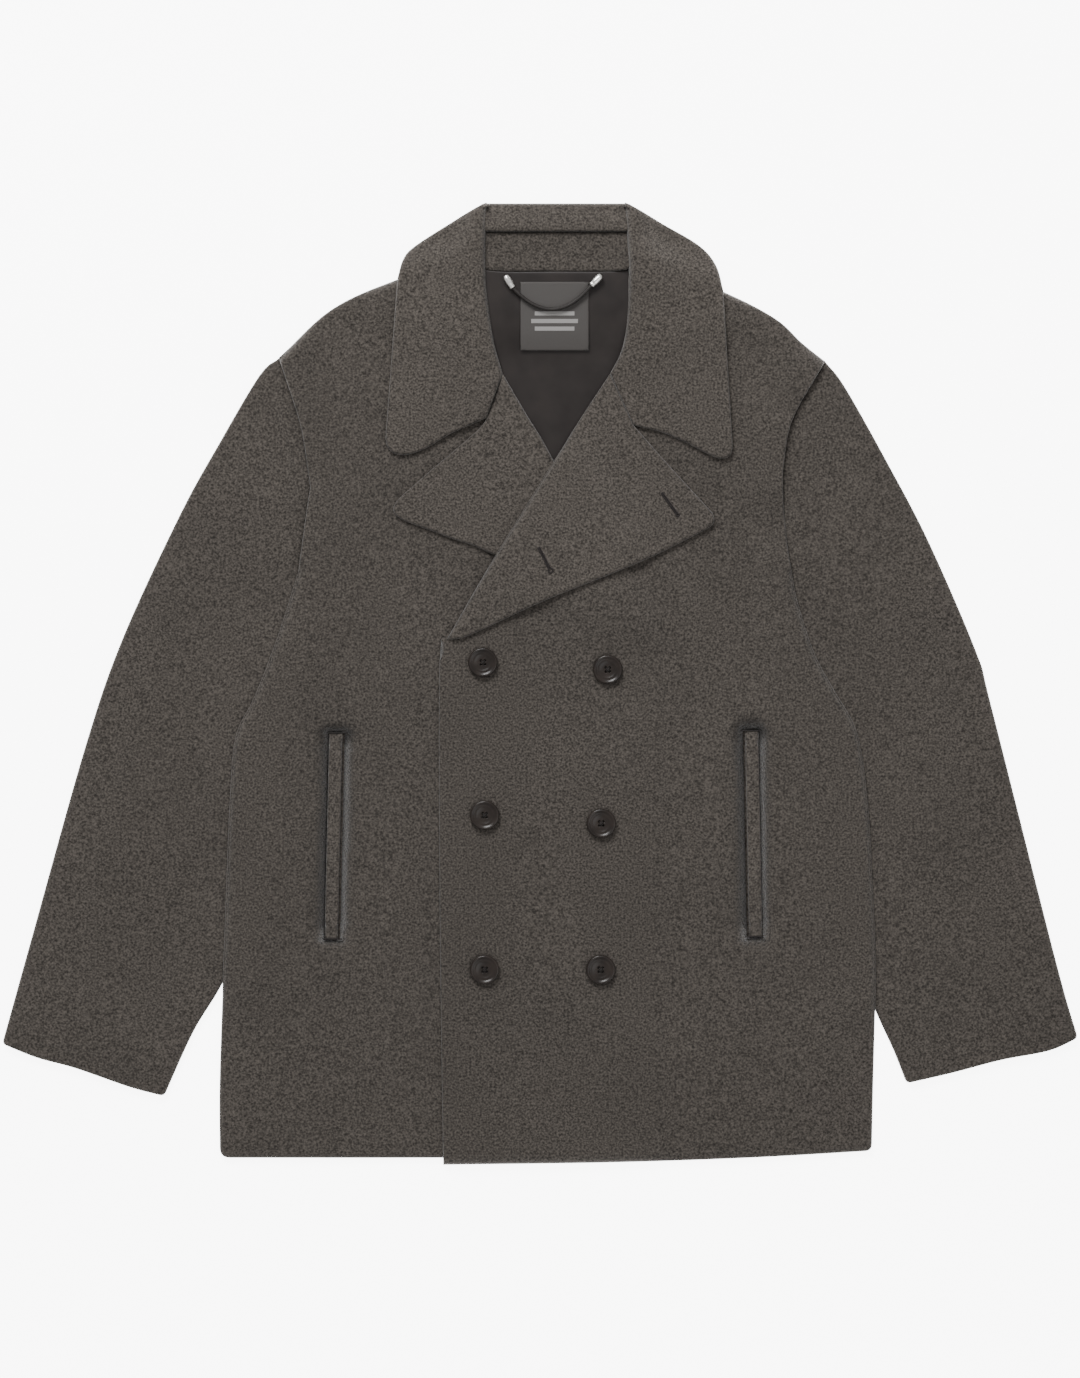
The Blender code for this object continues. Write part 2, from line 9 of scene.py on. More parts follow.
import bmesh
import bpy
import numpy as np
from mathutils.geometry import delaunay_2d_cdt
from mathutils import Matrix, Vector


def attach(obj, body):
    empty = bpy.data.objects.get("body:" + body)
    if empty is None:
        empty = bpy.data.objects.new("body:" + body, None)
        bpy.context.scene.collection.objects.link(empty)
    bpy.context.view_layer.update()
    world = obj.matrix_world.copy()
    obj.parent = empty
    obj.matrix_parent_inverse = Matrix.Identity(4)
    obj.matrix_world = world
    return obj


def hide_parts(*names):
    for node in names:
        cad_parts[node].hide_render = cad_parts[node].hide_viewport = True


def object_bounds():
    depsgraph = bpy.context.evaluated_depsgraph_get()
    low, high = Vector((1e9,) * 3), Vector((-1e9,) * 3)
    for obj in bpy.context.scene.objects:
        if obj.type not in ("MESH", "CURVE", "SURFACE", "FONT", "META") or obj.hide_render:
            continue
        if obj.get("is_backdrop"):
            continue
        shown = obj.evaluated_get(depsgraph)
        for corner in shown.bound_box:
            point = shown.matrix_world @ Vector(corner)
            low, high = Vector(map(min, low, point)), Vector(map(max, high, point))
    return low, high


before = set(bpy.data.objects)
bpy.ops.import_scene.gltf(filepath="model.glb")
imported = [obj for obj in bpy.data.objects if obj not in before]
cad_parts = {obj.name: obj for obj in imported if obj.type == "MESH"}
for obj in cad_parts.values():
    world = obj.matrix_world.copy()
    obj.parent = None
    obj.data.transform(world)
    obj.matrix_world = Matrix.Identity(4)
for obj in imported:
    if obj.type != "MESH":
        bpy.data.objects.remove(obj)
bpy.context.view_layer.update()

MM = 0.001
MELTON = 2.8
DOUBLED = 4.2  # collar and lapels: two layers turned and pressed
LINING = 1.0
LABEL = 0.8
REST = 0.35  # air under a panel that lies on another
SEAM = 0.3  # open line round a pocket's welt, and the least step along a run
SEAM_LAP = 0.1  # a pressed seam closes: each panel reaches this far past its own edge
SPACING = 5.0  # between the points of an outline
GRID = 6.5  # between the points inside a panel
STEP = 4.0  # between the places of a field of heights
STITCH = 8.0  # from an edge to its row of topstitching
STITCH_DEPTH = 0.42
STITCH_WIDTH = 1.1
EDGE_ROUND = 0.75  # radius of a cut edge, in thicknesses
FOLD_FADE = 12.0  # from the outline to where a fold has its full height
EASE_FADE = 26.0  # from the outline to where a panel has its full unevenness
ON_OUTLINE = 1e-3  # a point this near the outline is one of its own
FINE_GRID = 4.0  # inside a small piece
WING_GRID = 5.5
BOX_STEPS = 12  # points along each side of a straight-sided piece
BUTTON_RADIUS = 12.7
BUTTON_THICK = 4.2
WELT = 13.0
POCKET_SLIT = 1.6
CORD_RADIUS = 1.6

# Heights that an edge bends down to where it is tucked, above the table, and how wide the bend is.
SLEEVE_TUCK = 3.4
FRONT_TUCK, FRONT_BEND = 3.0, 7.0
LAPEL_TUCK, LAPEL_BEND = 8.0, 5.0
WING_TUCK, WING_BEND = 8.0, 6.0
PLAIN_TUCK, PLAIN_BEND = 1.6, 9.0

COLLAR_MIDDLE = (14.0, 300.0)
COLLAR_BULGE = 3.4  # how far the collar's roll stands out past its fold
COLLAR_LOW = 1.0  # height at which the roll leaves the layer under the neck
COLLAR_SHOULDER = 14.0  # from a shoulder's outline to where the collar folds over it
WELT_RISE = 0.7  # a welt stands this far above the front round it
BUTTON_AIR = 0.9  # thread shank's length under a button
THREAD_RADIUS = 0.55
PURL_RADIUS = 0.7
CORD_AIR = 1.6

# %% [markdown]
# ## The pattern
# A pattern is a set of edges that panels share: the armhole edge of a body panel is also the
# armhole edge of the sleeve. Naming each edge once keeps the seams of two panels together.
# All of it is in millimetres, +X to the wearer's left and +Y from hem to collar.

# %% Pattern tables
# Edges of the pattern pieces: x, y of the few points each needs. "right" and "left" are the wearer's.
EDGES = {
    "shoulder_right": ((-224, 280), (-180, 321), (-126, 346), (-56, 366)),
    "shoulder_left": ((84, 364), (157, 337), (202, 314), (225, 293), (245, 277)),
    "neck": ((-56, 366), (-45, 355), (14, 354), (73, 355), (84, 364)),
    "armhole_right": ((-224, 280), (-217, 259), (-205, 221), (-199, 183), (-197, 169)),
    "armhole_left": ((245, 277), (224, 242), (213, 216), (208, 181)),
    "underarm_right": ((-197, 169), (-202, 134), (-207, 97)),
    "underarm_left": ((208, 181), (209, 152), (213, 113), (216, 95)),
    "side_right": (
        (-207, 97), (-226, 38), (-245, -11), (-261, -45), (-266, -100), (-270, -199),
        (-275, -335), (-275, -407),
    ),
    "side_left": (
        (216, 95), (221, 70), (235, 27), (252, -5), (272, -42), (281, -101), (285, -165),
        (288, -250), (286, -353), (285, -401),
    ),
    "hem_right": ((-275, -407), (-84, -407), (92, -406)),
    "hem_left": ((-83, -413), (60, -411), (180, -407), (285, -401)),
    "hem_back": ((-275, -405), (0, -404), (285, -399)),
    "front_right": ((92, -406), (92, -180), (88, 45)),
    "front_left": ((-83, -413), (-86, -180), (-86, 20), (-80, 38)),
    "roll_right": ((88, 45), (12, 191), (-11, 230), (-32, 266)),
    "roll_left": ((-80, 38), (-40, 107), (12, 191), (35, 228), (60, 266)),
    "neckline_right": ((-32, 266), (-40, 295), (-46, 337), (-47, 354)),
    "neckline_left": ((60, 266), (70, 286), (75, 314), (76, 354)),
    "gorge_right": ((-32, 266), (-46, 228)),
    "gorge_left": ((60, 266), (80, 222)),
    "lapel_upper_right": ((-46, 228), (-53, 218), (-95, 182), (-135, 147)),
    "lapel_lower_right": ((-135, 147), (-76, 125), (-40, 111), (88, 45)),
    "lapel_upper_left": ((80, 222), (110, 188), (155, 139)),
    "lapel_lower_left": ((155, 139), (89, 106), (3, 71), (-60, 42), (-80, 38)),
    "wing_lower_right": ((-46, 228), (-76, 215), (-103, 200), (-134, 192)),
    "wing_lower_left": ((80, 222), (110, 214), (149, 195), (166, 190)),
    "wing_outer_right": ((-134, 192), (-122, 348)),
    "wing_outer_left": ((166, 190), (165, 210), (157, 337)),
    "wing_top_right": ((-122, 348), (-117, 365), (-107, 376), (-76, 396), (-46, 413)),
    "wing_top_left": ((157, 337), (151, 359), (137, 376), (105, 395), (73, 413)),
    "wing_roll_right": ((-32, 266), (-40, 295), (-46, 337), (-47, 370), (-46, 413)),
    "wing_roll_left": ((60, 266), (70, 286), (75, 314), (76, 354), (73, 413)),
    "collar_top": ((-46, 413), (73, 413)),
    "collar_behind": ((157, 337), (135, 327), (90, 323), (-60, 323), (-100, 330), (-122, 348)),
    "sleeve_outer_right": (
        (-224, 280), (-241, 265), (-276, 206), (-310, 144), (-359, 38), (-391, -55),
        (-437, -219), (-462, -309),
    ),
    "sleeve_outer_left": (
        (245, 277), (262, 255), (298, 191), (334, 122), (375, 27), (388, -20),
        (443, -237), (462, -304),
    ),
    "cuff_right": ((-462, -309), (-432, -321), (-399, -330), (-353, -346), (-323, -354)),
    "cuff_left": ((462, -304), (437, -315), (396, -323), (354, -334), (315, -343)),
    "sleeve_inner_right": (
        (-323, -354), (-298, -299), (-272, -255), (-254, -205), (-243, -130), (-236, -60),
        (-220, 0), (-207, 55), (-207, 97),
    ),
    "sleeve_inner_left": (
        (315, -343), (304, -315), (289, -282), (276, -245), (262, -170), (256, -100),
        (246, -50), (230, 0), (216, 55), (216, 95),
    ),
    "stand_side_right": ((-56, 366), (-54, 388)),
    "stand_side_left": ((84, 364), (82, 388)),
    "stand_top": ((-54, 388), (82, 388)),
    "roll_band_side_right": ((-54, 388), (-50, 412)),
    "roll_band_side_left": ((82, 388), (77, 412)),
    "roll_band_top": ((-50, 412), (77, 412)),
    "lining_side_right": ((-56, 366), (-62, 300), (-48, 240), (12, 168)),
    "lining_side_left": ((84, 364), (92, 300), (76, 240), (12, 168)),
}

# Outline of each cut piece: its edges in order, "-" before one that is walked backwards.
OUTLINES = {
    "back": (
        "neck", "shoulder_left", "armhole_left", "underarm_left", "side_left", "-hem_back",
        "-side_right", "-underarm_right", "-armhole_right", "shoulder_right",
    ),
    "front_right": (
        "shoulder_right", "-neckline_right", "-roll_right", "-front_right", "-hem_right",
        "-side_right", "-underarm_right", "-armhole_right",
    ),
    "front_left": (
        "shoulder_left", "armhole_left", "underarm_left", "side_left", "-hem_left",
        "front_left", "roll_left", "neckline_left",
    ),
    "lapel_right": ("roll_right", "gorge_right", "lapel_upper_right", "lapel_lower_right"),
    "lapel_left": ("roll_left", "gorge_left", "lapel_upper_left", "lapel_lower_left"),
    "sleeve_right": (
        "sleeve_outer_right", "cuff_right", "sleeve_inner_right", "-underarm_right",
        "-armhole_right",
    ),
    "sleeve_left": (
        "sleeve_outer_left", "cuff_left", "sleeve_inner_left", "-underarm_left",
        "-armhole_left",
    ),
    "wing_right": (
        "gorge_right", "wing_lower_right", "wing_outer_right", "wing_top_right",
        "-wing_roll_right",
    ),
    "wing_left": (
        "gorge_left", "wing_lower_left", "wing_outer_left", "wing_top_left",
        "-wing_roll_left",
    ),
    "fall_behind": ("collar_top", "-wing_top_left", "collar_behind", "wing_top_right"),
    "collar_stand": ("neck", "stand_side_left", "-stand_top", "-stand_side_right"),
    "roll_band": ("stand_top", "roll_band_side_left", "-roll_band_top", "-roll_band_side_right"),
    "neck_lining": ("neck", "lining_side_left", "-lining_side_right"),
}

# Rounded corners: the edge that ends at the corner, and how far back the rounding starts.
ROUNDING = {
    "lapel_upper_right": 22.0,
    "lapel_upper_left": 14.0,
    "wing_lower_right": 24.0,
    "wing_lower_left": 16.0,
    "front_left": 5.0,
    "side_right": 9.0,
    "side_left": 6.0,
    "cuff_right": 4.0,
    "cuff_left": 4.0,
    "sleeve_outer_right": 4.0,
    "sleeve_outer_left": 4.0,
}

# Pocket mouths: side of the coat, x and y of the upper and of the lower end, way to the side seam.
POCKETS = {
    "right": {"top": (-168.0, -42.0), "bottom": (-172.0, -219.0), "outward": -1},
    "left": {"top": (174.5, -40.0), "bottom": (178.0, -217.0), "outward": 1},
}

# Buttons, in rows from the lapel to the hem: x and y.
BUTTONS = {
    "button_1": (-49.0, 18.5),
    "button_2": (58.0, 12.4),
    "button_3": (-47.5, -112.5),
    "button_4": (52.5, -119.5),
    "button_5": (-47.5, -244.8),
    "button_6": (52.0, -244.8),
}

LABEL_BOX = (-17.0, 286.0, 42.0, 345.0)  # x and y of its lower left and upper right corners
# The hanging cord sags between its two caps: x and y of its ends and of its lowest point.
LOOP = {"right": (-23.0, 339.0), "low": (11.0, 321.0), "left": (43.5, 341.0)}
LOOP_CAPS = {"right": (-29.0, 348.5), "left": (52.0, 349.5)}

# %% [markdown]
# ## Folds, listed one by one
# Heavy wool doesn't wrinkle finely: it rolls in broad soft ridges and troughs that start at a seam
# and die out. Each row is one of them: the panels it is on, its path, its height (negative for a
# trough) and half its width. They are uneven on purpose, as real ones are.

# %% Fold table
FOLDS = (
    (("sleeve_top_right",), ((-226, 262), (-214, 220), (-204, 180), (-206, 140)), 3.2, 8.0),
    (("sleeve_top_right",), ((-236, 262), (-226, 215), (-216, 180), (-214, 130)), -2.0, 5.0),
    (("front_right",), ((-184, 200), (-190, 170), (-196, 148)), 2.2, 8.0),
    (("front_right",), ((-186, 300), (-190, 240), (-176, 190)), -1.8, 13.0),
    (("front_right",), ((-166, 318), (-164, 240), (-160, 170), (-170, 60)), 1.8, 13.0),
    (("front_right",), ((-140, 120), (-136, 30), (-128, -70)), -1.0, 14.0),
    (("front_right",), ((-230, -60), (-224, -200), (-236, -330)), 1.2, 18.0),
    (("front_right",), ((-118, -60), (-112, -210), (-124, -390)), 0.9, 16.0),
    (("sleeve_top_left",), ((252, 256), (240, 218), (232, 185), (226, 150)), 3.2, 9.0),
    (("sleeve_top_left",), ((244, 250), (243, 224), (236, 192), (230, 166)), -2.2, 4.5),
    (("front_left",), ((198, 290), (190, 240), (186, 190), (192, 120)), 1.8, 12.0),
    (("front_left",), ((170, 300), (160, 210), (158, 120), (150, 20)), -1.3, 15.0),
    (("front_left",), ((228, 10), (236, -90), (230, -200)), 1.1, 17.0),
    (("front_left",), ((140, -30), (132, -160), (140, -300), (128, -392)), 0.9, 18.0),
    (("front_left",), ((10, -40), (4, -160), (16, -300)), 0.6, 20.0),
    (("sleeve_top_right",), ((-300, 120), (-330, 20), (-352, -70), (-380, -190)), 1.8, 16.0),
    (("sleeve_top_right",), ((-262, 60), (-290, -40), (-300, -140)), -1.5, 14.0),
    (("sleeve_top_right",), ((-395, -150), (-380, -230), (-390, -300)), 1.2, 13.0),
    (("sleeve_top_right",), ((-330, -230), (-345, -290)), -0.9, 12.0),
    (("sleeve_top_left",), ((300, 130), (330, 40), (345, -60), (372, -170)), 1.8, 16.0),
    (("sleeve_top_left",), ((272, 70), (300, -30), (308, -140)), -1.5, 14.0),
    (("sleeve_top_left",), ((392, -130), (384, -210), (398, -290)), 1.2, 14.0),
    (("back",), ((-120, 300), (-140, 140), (-130, -60), (-150, -260)), -0.8, 26.0),
    (("back",), ((130, 290), (150, 120), (140, -90), (160, -300)), -0.7, 24.0),
    (("sleeve_under_right", "sleeve_under_left"), ((-330, 60), (-372, -120)), 0.4, 20.0),
    (("lapel_right",), ((-10, 190), (-52, 160), (-96, 150)), 0.6, 18.0),
    (("lapel_left",), ((24, 186), (70, 160), (112, 142)), 0.6, 18.0),
    (("wing_right",), ((-60, 350), (-78, 290), (-84, 226)), 0.9, 18.0),
    (("wing_left",), ((98, 350), (110, 290), (116, 226)), 0.9, 18.0),
)

# %% [markdown]
# ## Curves and outlines
# A cutter draws a panel edge with a bent ruler through a few marks. The Catmull-Rom curve is that
# ruler: it passes through every mark. Between marks a and b, with neighbours p and n,
# `2a + (b-p)t + (2p-5a+4b-n)t^2 + (3a-p-3b+n)t^3`, halved, for t from 0 to 1.

# %% Curves, outlines and distances
def smooth_run(points, spacing=SPACING):
    """The Catmull-Rom curve through the points, read about every `spacing`."""
    knots = np.array(points, float)
    padded = np.vstack([2 * knots[0] - knots[1], knots, 2 * knots[-1] - knots[-2]])
    runs = []
    for before, start, end, after in zip(padded, padded[1:], padded[2:], padded[3:]):
        steps = max(1, round(np.linalg.norm(end - start) / spacing))
        t = np.arange(steps)[:, None] / steps
        runs.append(
            0.5 * (2 * start + (end - before) * t
                   + (2 * before - 5 * start + 4 * end - after) * t**2
                   + (3 * start - before - 3 * end + after) * t**3)
        )
    return np.vstack([*runs, knots[-1:]])


def shortened(run, cut):
    """The run without its last `cut` millimetres."""
    lengths = np.concatenate([[0], np.cumsum(np.linalg.norm(np.diff(run, axis=0), axis=1))])
    stop = lengths[-1] - cut
    end = [np.interp(stop, lengths, run[:, axis]) for axis in (0, 1)]
    return np.vstack([run[lengths < stop - SEAM], end])


def anticlockwise(points):
    x, y = points.T
    return points if np.sum(x * np.roll(y, -1) - y * np.roll(x, -1)) > 0 else points[::-1]


def corner_cut(name, following):
    """How far back the corner between two edges starts to round."""
    ends = ROUNDING.get(name, 0.0)
    return ends or (ROUNDING.get(following[1:], 0.0) if following.startswith("-") else 0.0)


def outline(names):
    """The closed anticlockwise outline of these edges; a rounded corner is a quadratic arc."""
    runs = [smooth_run(EDGES[n.lstrip("-")])[:: -1 if n.startswith("-") else 1] for n in names]
    cuts = [corner_cut(n, names[(i + 1) % len(names)]) for i, n in enumerate(names)]
    parts = []
    for place, run in enumerate(runs):
        corner, cut = run[-1], cuts[place]
        if cuts[place - 1]:
            run = shortened(run[::-1], cuts[place - 1])[::-1]
        if not cut:
            parts.append(run[:-1])
            continue
        run = shortened(run, cut)
        leaving = shortened(runs[(place + 1) % len(runs)][::-1], cut)[-1]
        t = np.linspace(0, 1, 8)[1:-1, None]
        parts += [run, (1 - t) ** 2 * run[-1] + 2 * t * (1 - t) * corner + t**2 * leaving]
    return anticlockwise(np.vstack(parts))


def inset(points, by):
    """The outline moved inwards, along the mean of each corner's two normals."""
    ahead = np.roll(points, -1, axis=0) - points
    ahead /= np.linalg.norm(ahead, axis=1, keepdims=True)
    normals = np.stack([-ahead[:, 1], ahead[:, 0]], axis=1)
    mean = normals + np.roll(normals, 1, axis=0)
    mean /= np.maximum(np.sum(mean * mean, axis=1, keepdims=True), 0.5) / 2
    return points + by * mean


def covers(loops, x, y):
    """Where the closed loops hold the places x, y: an even-odd count of the edges crossed."""
    held = np.zeros(x.shape, bool)
    for points in loops:
        for (ax, ay), (bx, by) in zip(points, np.roll(points, -1, axis=0)):
            if ay != by:
                held ^= ((ay > y) != (by > y)) & (x < ax + (y - ay) * (bx - ax) / (by - ay))
    return held


def distance(p, run):
    """How far each of the points p is from a run, and the share of the run at its nearest place."""
    nearest = np.full(len(p), np.inf)
    share = np.zeros(len(p))
    for number, (a, b) in enumerate(zip(run, run[1:])):
        way = b - a
        t = np.clip((p - a) @ way / max(way @ way, 1e-12), 0, 1)
        away = np.linalg.norm(p - a - t[:, None] * way, axis=1)
        closer = away < nearest
        nearest[closer] = away[closer]
        share[closer] = (number + t[closer]) / (len(run) - 1)
    return nearest, share


def closed(points):
    return np.vstack([points, points[:1]])


def straight_sided(corners):
    """The outline through these corners, with BOX_STEPS points along each side."""
    share = np.arange(BOX_STEPS)[:, None] / BOX_STEPS
    sides = zip(corners, corners[1:] + corners[:1])
    return np.vstack([a + (b - a) * share for a, b in sides])


print("edges in the pattern:", len(EDGES), "- cut pieces:", len(OUTLINES))

# %% [markdown]
# ## Laying one panel on another
# Stiff cloth bridges a step instead of following it sharply. So a panel's underside is found in
# three passes over a field of heights: the tops of what is below, the highest of its neighbours,
# and a mean of its neighbours, which makes the ramp. The panel can then never cut into another.

# %% Fields of heights
field_x, field_y = np.meshgrid(np.arange(-484, 485, STEP), np.arange(-436, 437, STEP))
laid = []


def spread(field, reach, join):
    """Each place takes the highest (np.max) or the mean (np.mean) of those within reach."""
    for axis in (0, 1):
        pad = [(reach, reach) if a == axis else (0, 0) for a in (0, 1)]
        padded = np.pad(field, pad, mode="edge")
        size = field.shape[axis]
        shifts = [np.take(padded, range(k, k + size), axis=axis) for k in range(2 * reach + 1)]
        field = join(shifts, axis=0)
    return field


def lay(points, thick):
    """The underside of a panel with this outline, laid on what is there, as a field."""
    mask = covers([points], field_x, field_y)
    support = np.zeros_like(field_x)
    for lower_mask, lower_top in laid:
        support = np.maximum(support, np.where(mask & lower_mask, lower_top + REST, 0.0))
    low = spread(spread(spread(support, 3, np.max), 2, np.mean), 1, np.mean)
    laid.append((mask, low + thick))
    return low


def read(field, p):
    """The field at the points p, blended between its four nearest places."""
    across = (p[:, 0] - field_x[0, 0]) / STEP
    along = (p[:, 1] - field_y[0, 0]) / STEP
    c, r = across.astype(int), along.astype(int)
    u, v = across - c, along - r
    near = field[r, c] * (1 - u) + field[r, c + 1] * u
    return near * (1 - v) + (field[r + 1, c] * (1 - u) + field[r + 1, c + 1] * u) * v


# %% [markdown]
# ## A panel as a closed shell
# Melton is cut and turned, so its edge is a soft half round and not a sharp step. With d the
# distance to the outline and r the edge's radius, half the thickness is
# `t/2 * sqrt(1 - (1 - min(d/r, 1))^2)`: nothing at the outline, where both faces share their
# points, and full a few millimetres in. Rings of points follow the edge so that the round is fine.
# A topstitch is a narrow trough a presser foot away from the edge. A tucked edge bends down to the
# layer under it, as a side seam does.

# %% Shells
RINGS = (0.5, 1.3, 2.6, 4.5, 6.6, 8.0, 9.4)


def fold_relief(name, p):
    """The sum of this panel's folds: height * exp(-(d/width)^2), fading at both ends."""
    lift = np.zeros(len(p))
    for panels, path, height, width in FOLDS:
        if name in panels:
            away, share = distance(p, smooth_run(path, 3 * SPACING))
            fade = np.clip(np.minimum(share, 1 - share) * 4, 0, 1)
            lift += height * np.exp(-((away / width) ** 2)) * (3 - 2 * fade) * fade**2
    return lift


def ease(p):
    """Gentle unevenness of a large panel, from two slow waves that cross it at odd angles."""
    x, y = p.T
    first = np.sin(x / 47 + y / 131 + 0.7)
    return 0.28 * first * np.sin(y / 83 - x / 190 + 1.9) + 0.12 * np.sin(x / 21 + y / 38)


def flat_points(loops, grid):
    """Outline points, rings inside them and a staggered grid, with the outline edges to keep."""
    edges, total = [], 0
    for loop in loops:
        count = len(loop)
        edges += [(total + i, total + (i + 1) % count) for i in range(count)]
        total += count
    sides = [closed(loop) for loop in loops]
    inner = [(inset(loops[0], by), by * 0.85) for by in RINGS]
    low, high = loops[0].min(axis=0), loops[0].max(axis=0)
    x, y = np.meshgrid(np.arange(low[0], high[0], grid), np.arange(low[1], high[1], grid))
    x[1::2] += grid / 2
    inner.append((np.stack([x.ravel(), y.ravel()], axis=1), RINGS[-1] + 2.0))
    kept = []
    for points, clear in inner:
        points = points[covers(loops, points[:, 0], points[:, 1])]
        away = np.min([distance(points, side)[0] for side in sides], axis=0)
        kept.append(points[away > clear])
    return np.vstack([*loops, *kept]), edges


def shell_parts(
    name, loops, low, thick, tucked=(), stitched=(), grid=GRID, tuck_to=PLAIN_TUCK, reach=PLAIN_BEND
):
    """Points and faces of a closed shell over a flat outline with holes, in millimetres."""
    flat, edges = flat_points(loops, grid)
    made = delaunay_2d_cdt([tuple(p) for p in flat], edges, [], 0, 1e-5)
    p = np.array([tuple(v) for v in made[0]])
    faces = np.array([tuple(f) for f in made[2]])
    middle = p[faces].mean(axis=1)
    faces = faces[covers(loops, middle[:, 0], middle[:, 1])]
    a, b, c = (p[faces[:, k]] for k in range(3))
    turned = (b[:, 0] - a[:, 0]) * (c[:, 1] - a[:, 1]) < (c[:, 0] - a[:, 0]) * (b[:, 1] - a[:, 1])
    faces[turned] = faces[turned][:, ::-1]
    away = np.min([distance(p, closed(loop))[0] for loop in loops], axis=0)
    inwards = np.clip(away / (thick * EDGE_ROUND), 0, 1)
    half = thick / 2 * np.sqrt(1 - (1 - inwards) ** 2)
    level = read(low, p) + thick / 2
    level += fold_relief(name, p) * np.clip(away / FOLD_FADE, 0.25, 1)
    level += np.maximum(ease(p), -0.1) * np.clip(away / EASE_FADE, 0, 1)
    for edge in tucked:
        near = np.clip(distance(p, smooth_run(EDGES[edge]))[0] / reach, 0, 1)
        level = tuck_to + (level - tuck_to) * np.sqrt(1 - (1 - near) ** 2)
    top = level + half
    for edge in stitched:
        gap = distance(p, smooth_run(EDGES[edge]))[0]
        top -= STITCH_DEPTH * np.exp(-(((gap - STITCH) / STITCH_WIDTH) ** 2))
    rim_point = away < ON_OUTLINE
    faces = faces[~rim_point[faces].all(axis=1)]  # such a corner would be two faces in one place
    below = np.where(rim_point, np.arange(len(p)), len(p) + np.cumsum(~rim_point) - 1)
    upper = np.column_stack([p, np.where(rim_point, level, top)])
    lower = np.column_stack([p, level - half])[~rim_point]
    return np.vstack([upper, lower]), np.vstack([faces, below[faces[:, ::-1]]])


def show(name, mesh, material):
    """A mesh in metres as a smooth piece that rides on the coat's one body."""
    mesh.polygons.foreach_set("use_smooth", np.full(len(mesh.polygons), True))
    mesh.materials.append(material)
    thing = bpy.data.objects.new(name, mesh)
    bpy.context.scene.collection.objects.link(thing)
    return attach(thing, "root")


def add_mesh(name, points, faces, material):
    """One closed mesh from points in millimetres."""
    mesh = bpy.data.meshes.new(name)
    mesh.from_pydata(np.asarray(points) * MM, [], [tuple(map(int, f)) for f in faces])
    return show(name, mesh, material)


def declare(node):
    """Hides the CAD node that a cloth piece stands for."""
    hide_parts(node)


# %% [markdown]
# ## Melton, and the other finishes
# Fulled wool hides its weave under a nap. Fibres of slightly different grey give it a salt and
# pepper grain about two millimetres across, and the loose ends catch light at grazing angles,
# which is what the sheen does. The grain is colour and a shallow bump on Object coordinates.

# %% Materials
def nodes_of(name, roughness, metallic=0.0, sheen=0.0):
    material = bpy.data.materials.new(name)
    material.use_nodes = True
    tree = material.node_tree
    shader = tree.nodes["Principled BSDF"]
    shader.inputs["Roughness"].default_value = roughness
    shader.inputs["Metallic"].default_value = metallic
    shader.inputs["Sheen Weight"].default_value = sheen
    shader.inputs["Sheen Roughness"].default_value = 0.5
    place = tree.nodes.new("ShaderNodeTexCoord").outputs["Object"]
    return material, tree, shader, place


def noise(tree, place, scale, detail=2.0):
    made = tree.nodes.new("ShaderNodeTexNoise")
    made.inputs["Scale"].default_value = scale
    made.inputs["Detail"].default_value = detail
    tree.links.new(place, made.inputs["Vector"])
    return made.outputs["Fac"]


def ramp(tree, value, stops):
    made = tree.nodes.new("ShaderNodeValToRGB")
    first, last = made.color_ramp.elements
    (first.position, dark), (last.position, light) = stops
    first.color, last.color = (*dark, 1.0), (*light, 1.0)
    tree.links.new(value, made.inputs["Fac"])
    return made.outputs["Color"]


def bump(tree, shader, value, distance_mm, strength=1.0):
    made = tree.nodes.new("ShaderNodeBump")
    made.inputs["Strength"].default_value = strength
    made.inputs["Distance"].default_value = distance_mm * MM
    tree.links.new(value, made.inputs["Height"])
    tree.links.new(made.outputs["Normal"], shader.inputs["Normal"])


def multiply(tree, a, b):
    made = tree.nodes.new("ShaderNodeMix")
    made.data_type, made.blend_type = "RGBA", "MULTIPLY"
    made.inputs["Factor"].default_value = 1.0
    tree.links.new(a, made.inputs["A"])
    tree.links.new(b, made.inputs["B"])
    return made.outputs["Result"]


def melton_finish(name, brightness=1.0):
    """Charcoal wool: a fine grain, slow tonal drift, nap bump and a little sheen."""
    material, tree, shader, place = nodes_of(name, 0.95, sheen=0.12)
    shader.inputs["Specular IOR Level"].default_value = 0.15
    dark = [c * brightness for c in (0.0105, 0.0088, 0.0074)]
    light = [c * brightness for c in (0.066, 0.0575, 0.050)]
    grain = ramp(tree, noise(tree, place, 560.0, 3.0), ((0.30, dark), (0.72, light)))
    drift = ramp(tree, noise(tree, place, 9.0), ((0.25, (0.86,) * 3), (0.75, (1.0,) * 3)))
    tree.links.new(multiply(tree, grain, drift), shader.inputs["Base Color"])
    bump(tree, shader, noise(tree, place, 760.0, 3.0), 0.9, 0.7)
    return material


def plain_finish(name, dark, light, scale, roughness, metallic=0.0, depth=0.15):
    material, tree, shader, place = nodes_of(name, roughness, metallic)
    shader.inputs["Specular IOR Level"].default_value = 0.2
    value = noise(tree, place, scale)
    tree.links.new(ramp(tree, value, ((0.3, dark), (0.7, light))), shader.inputs["Base Color"])
    bump(tree, shader, value, depth, 0.5)
    return material


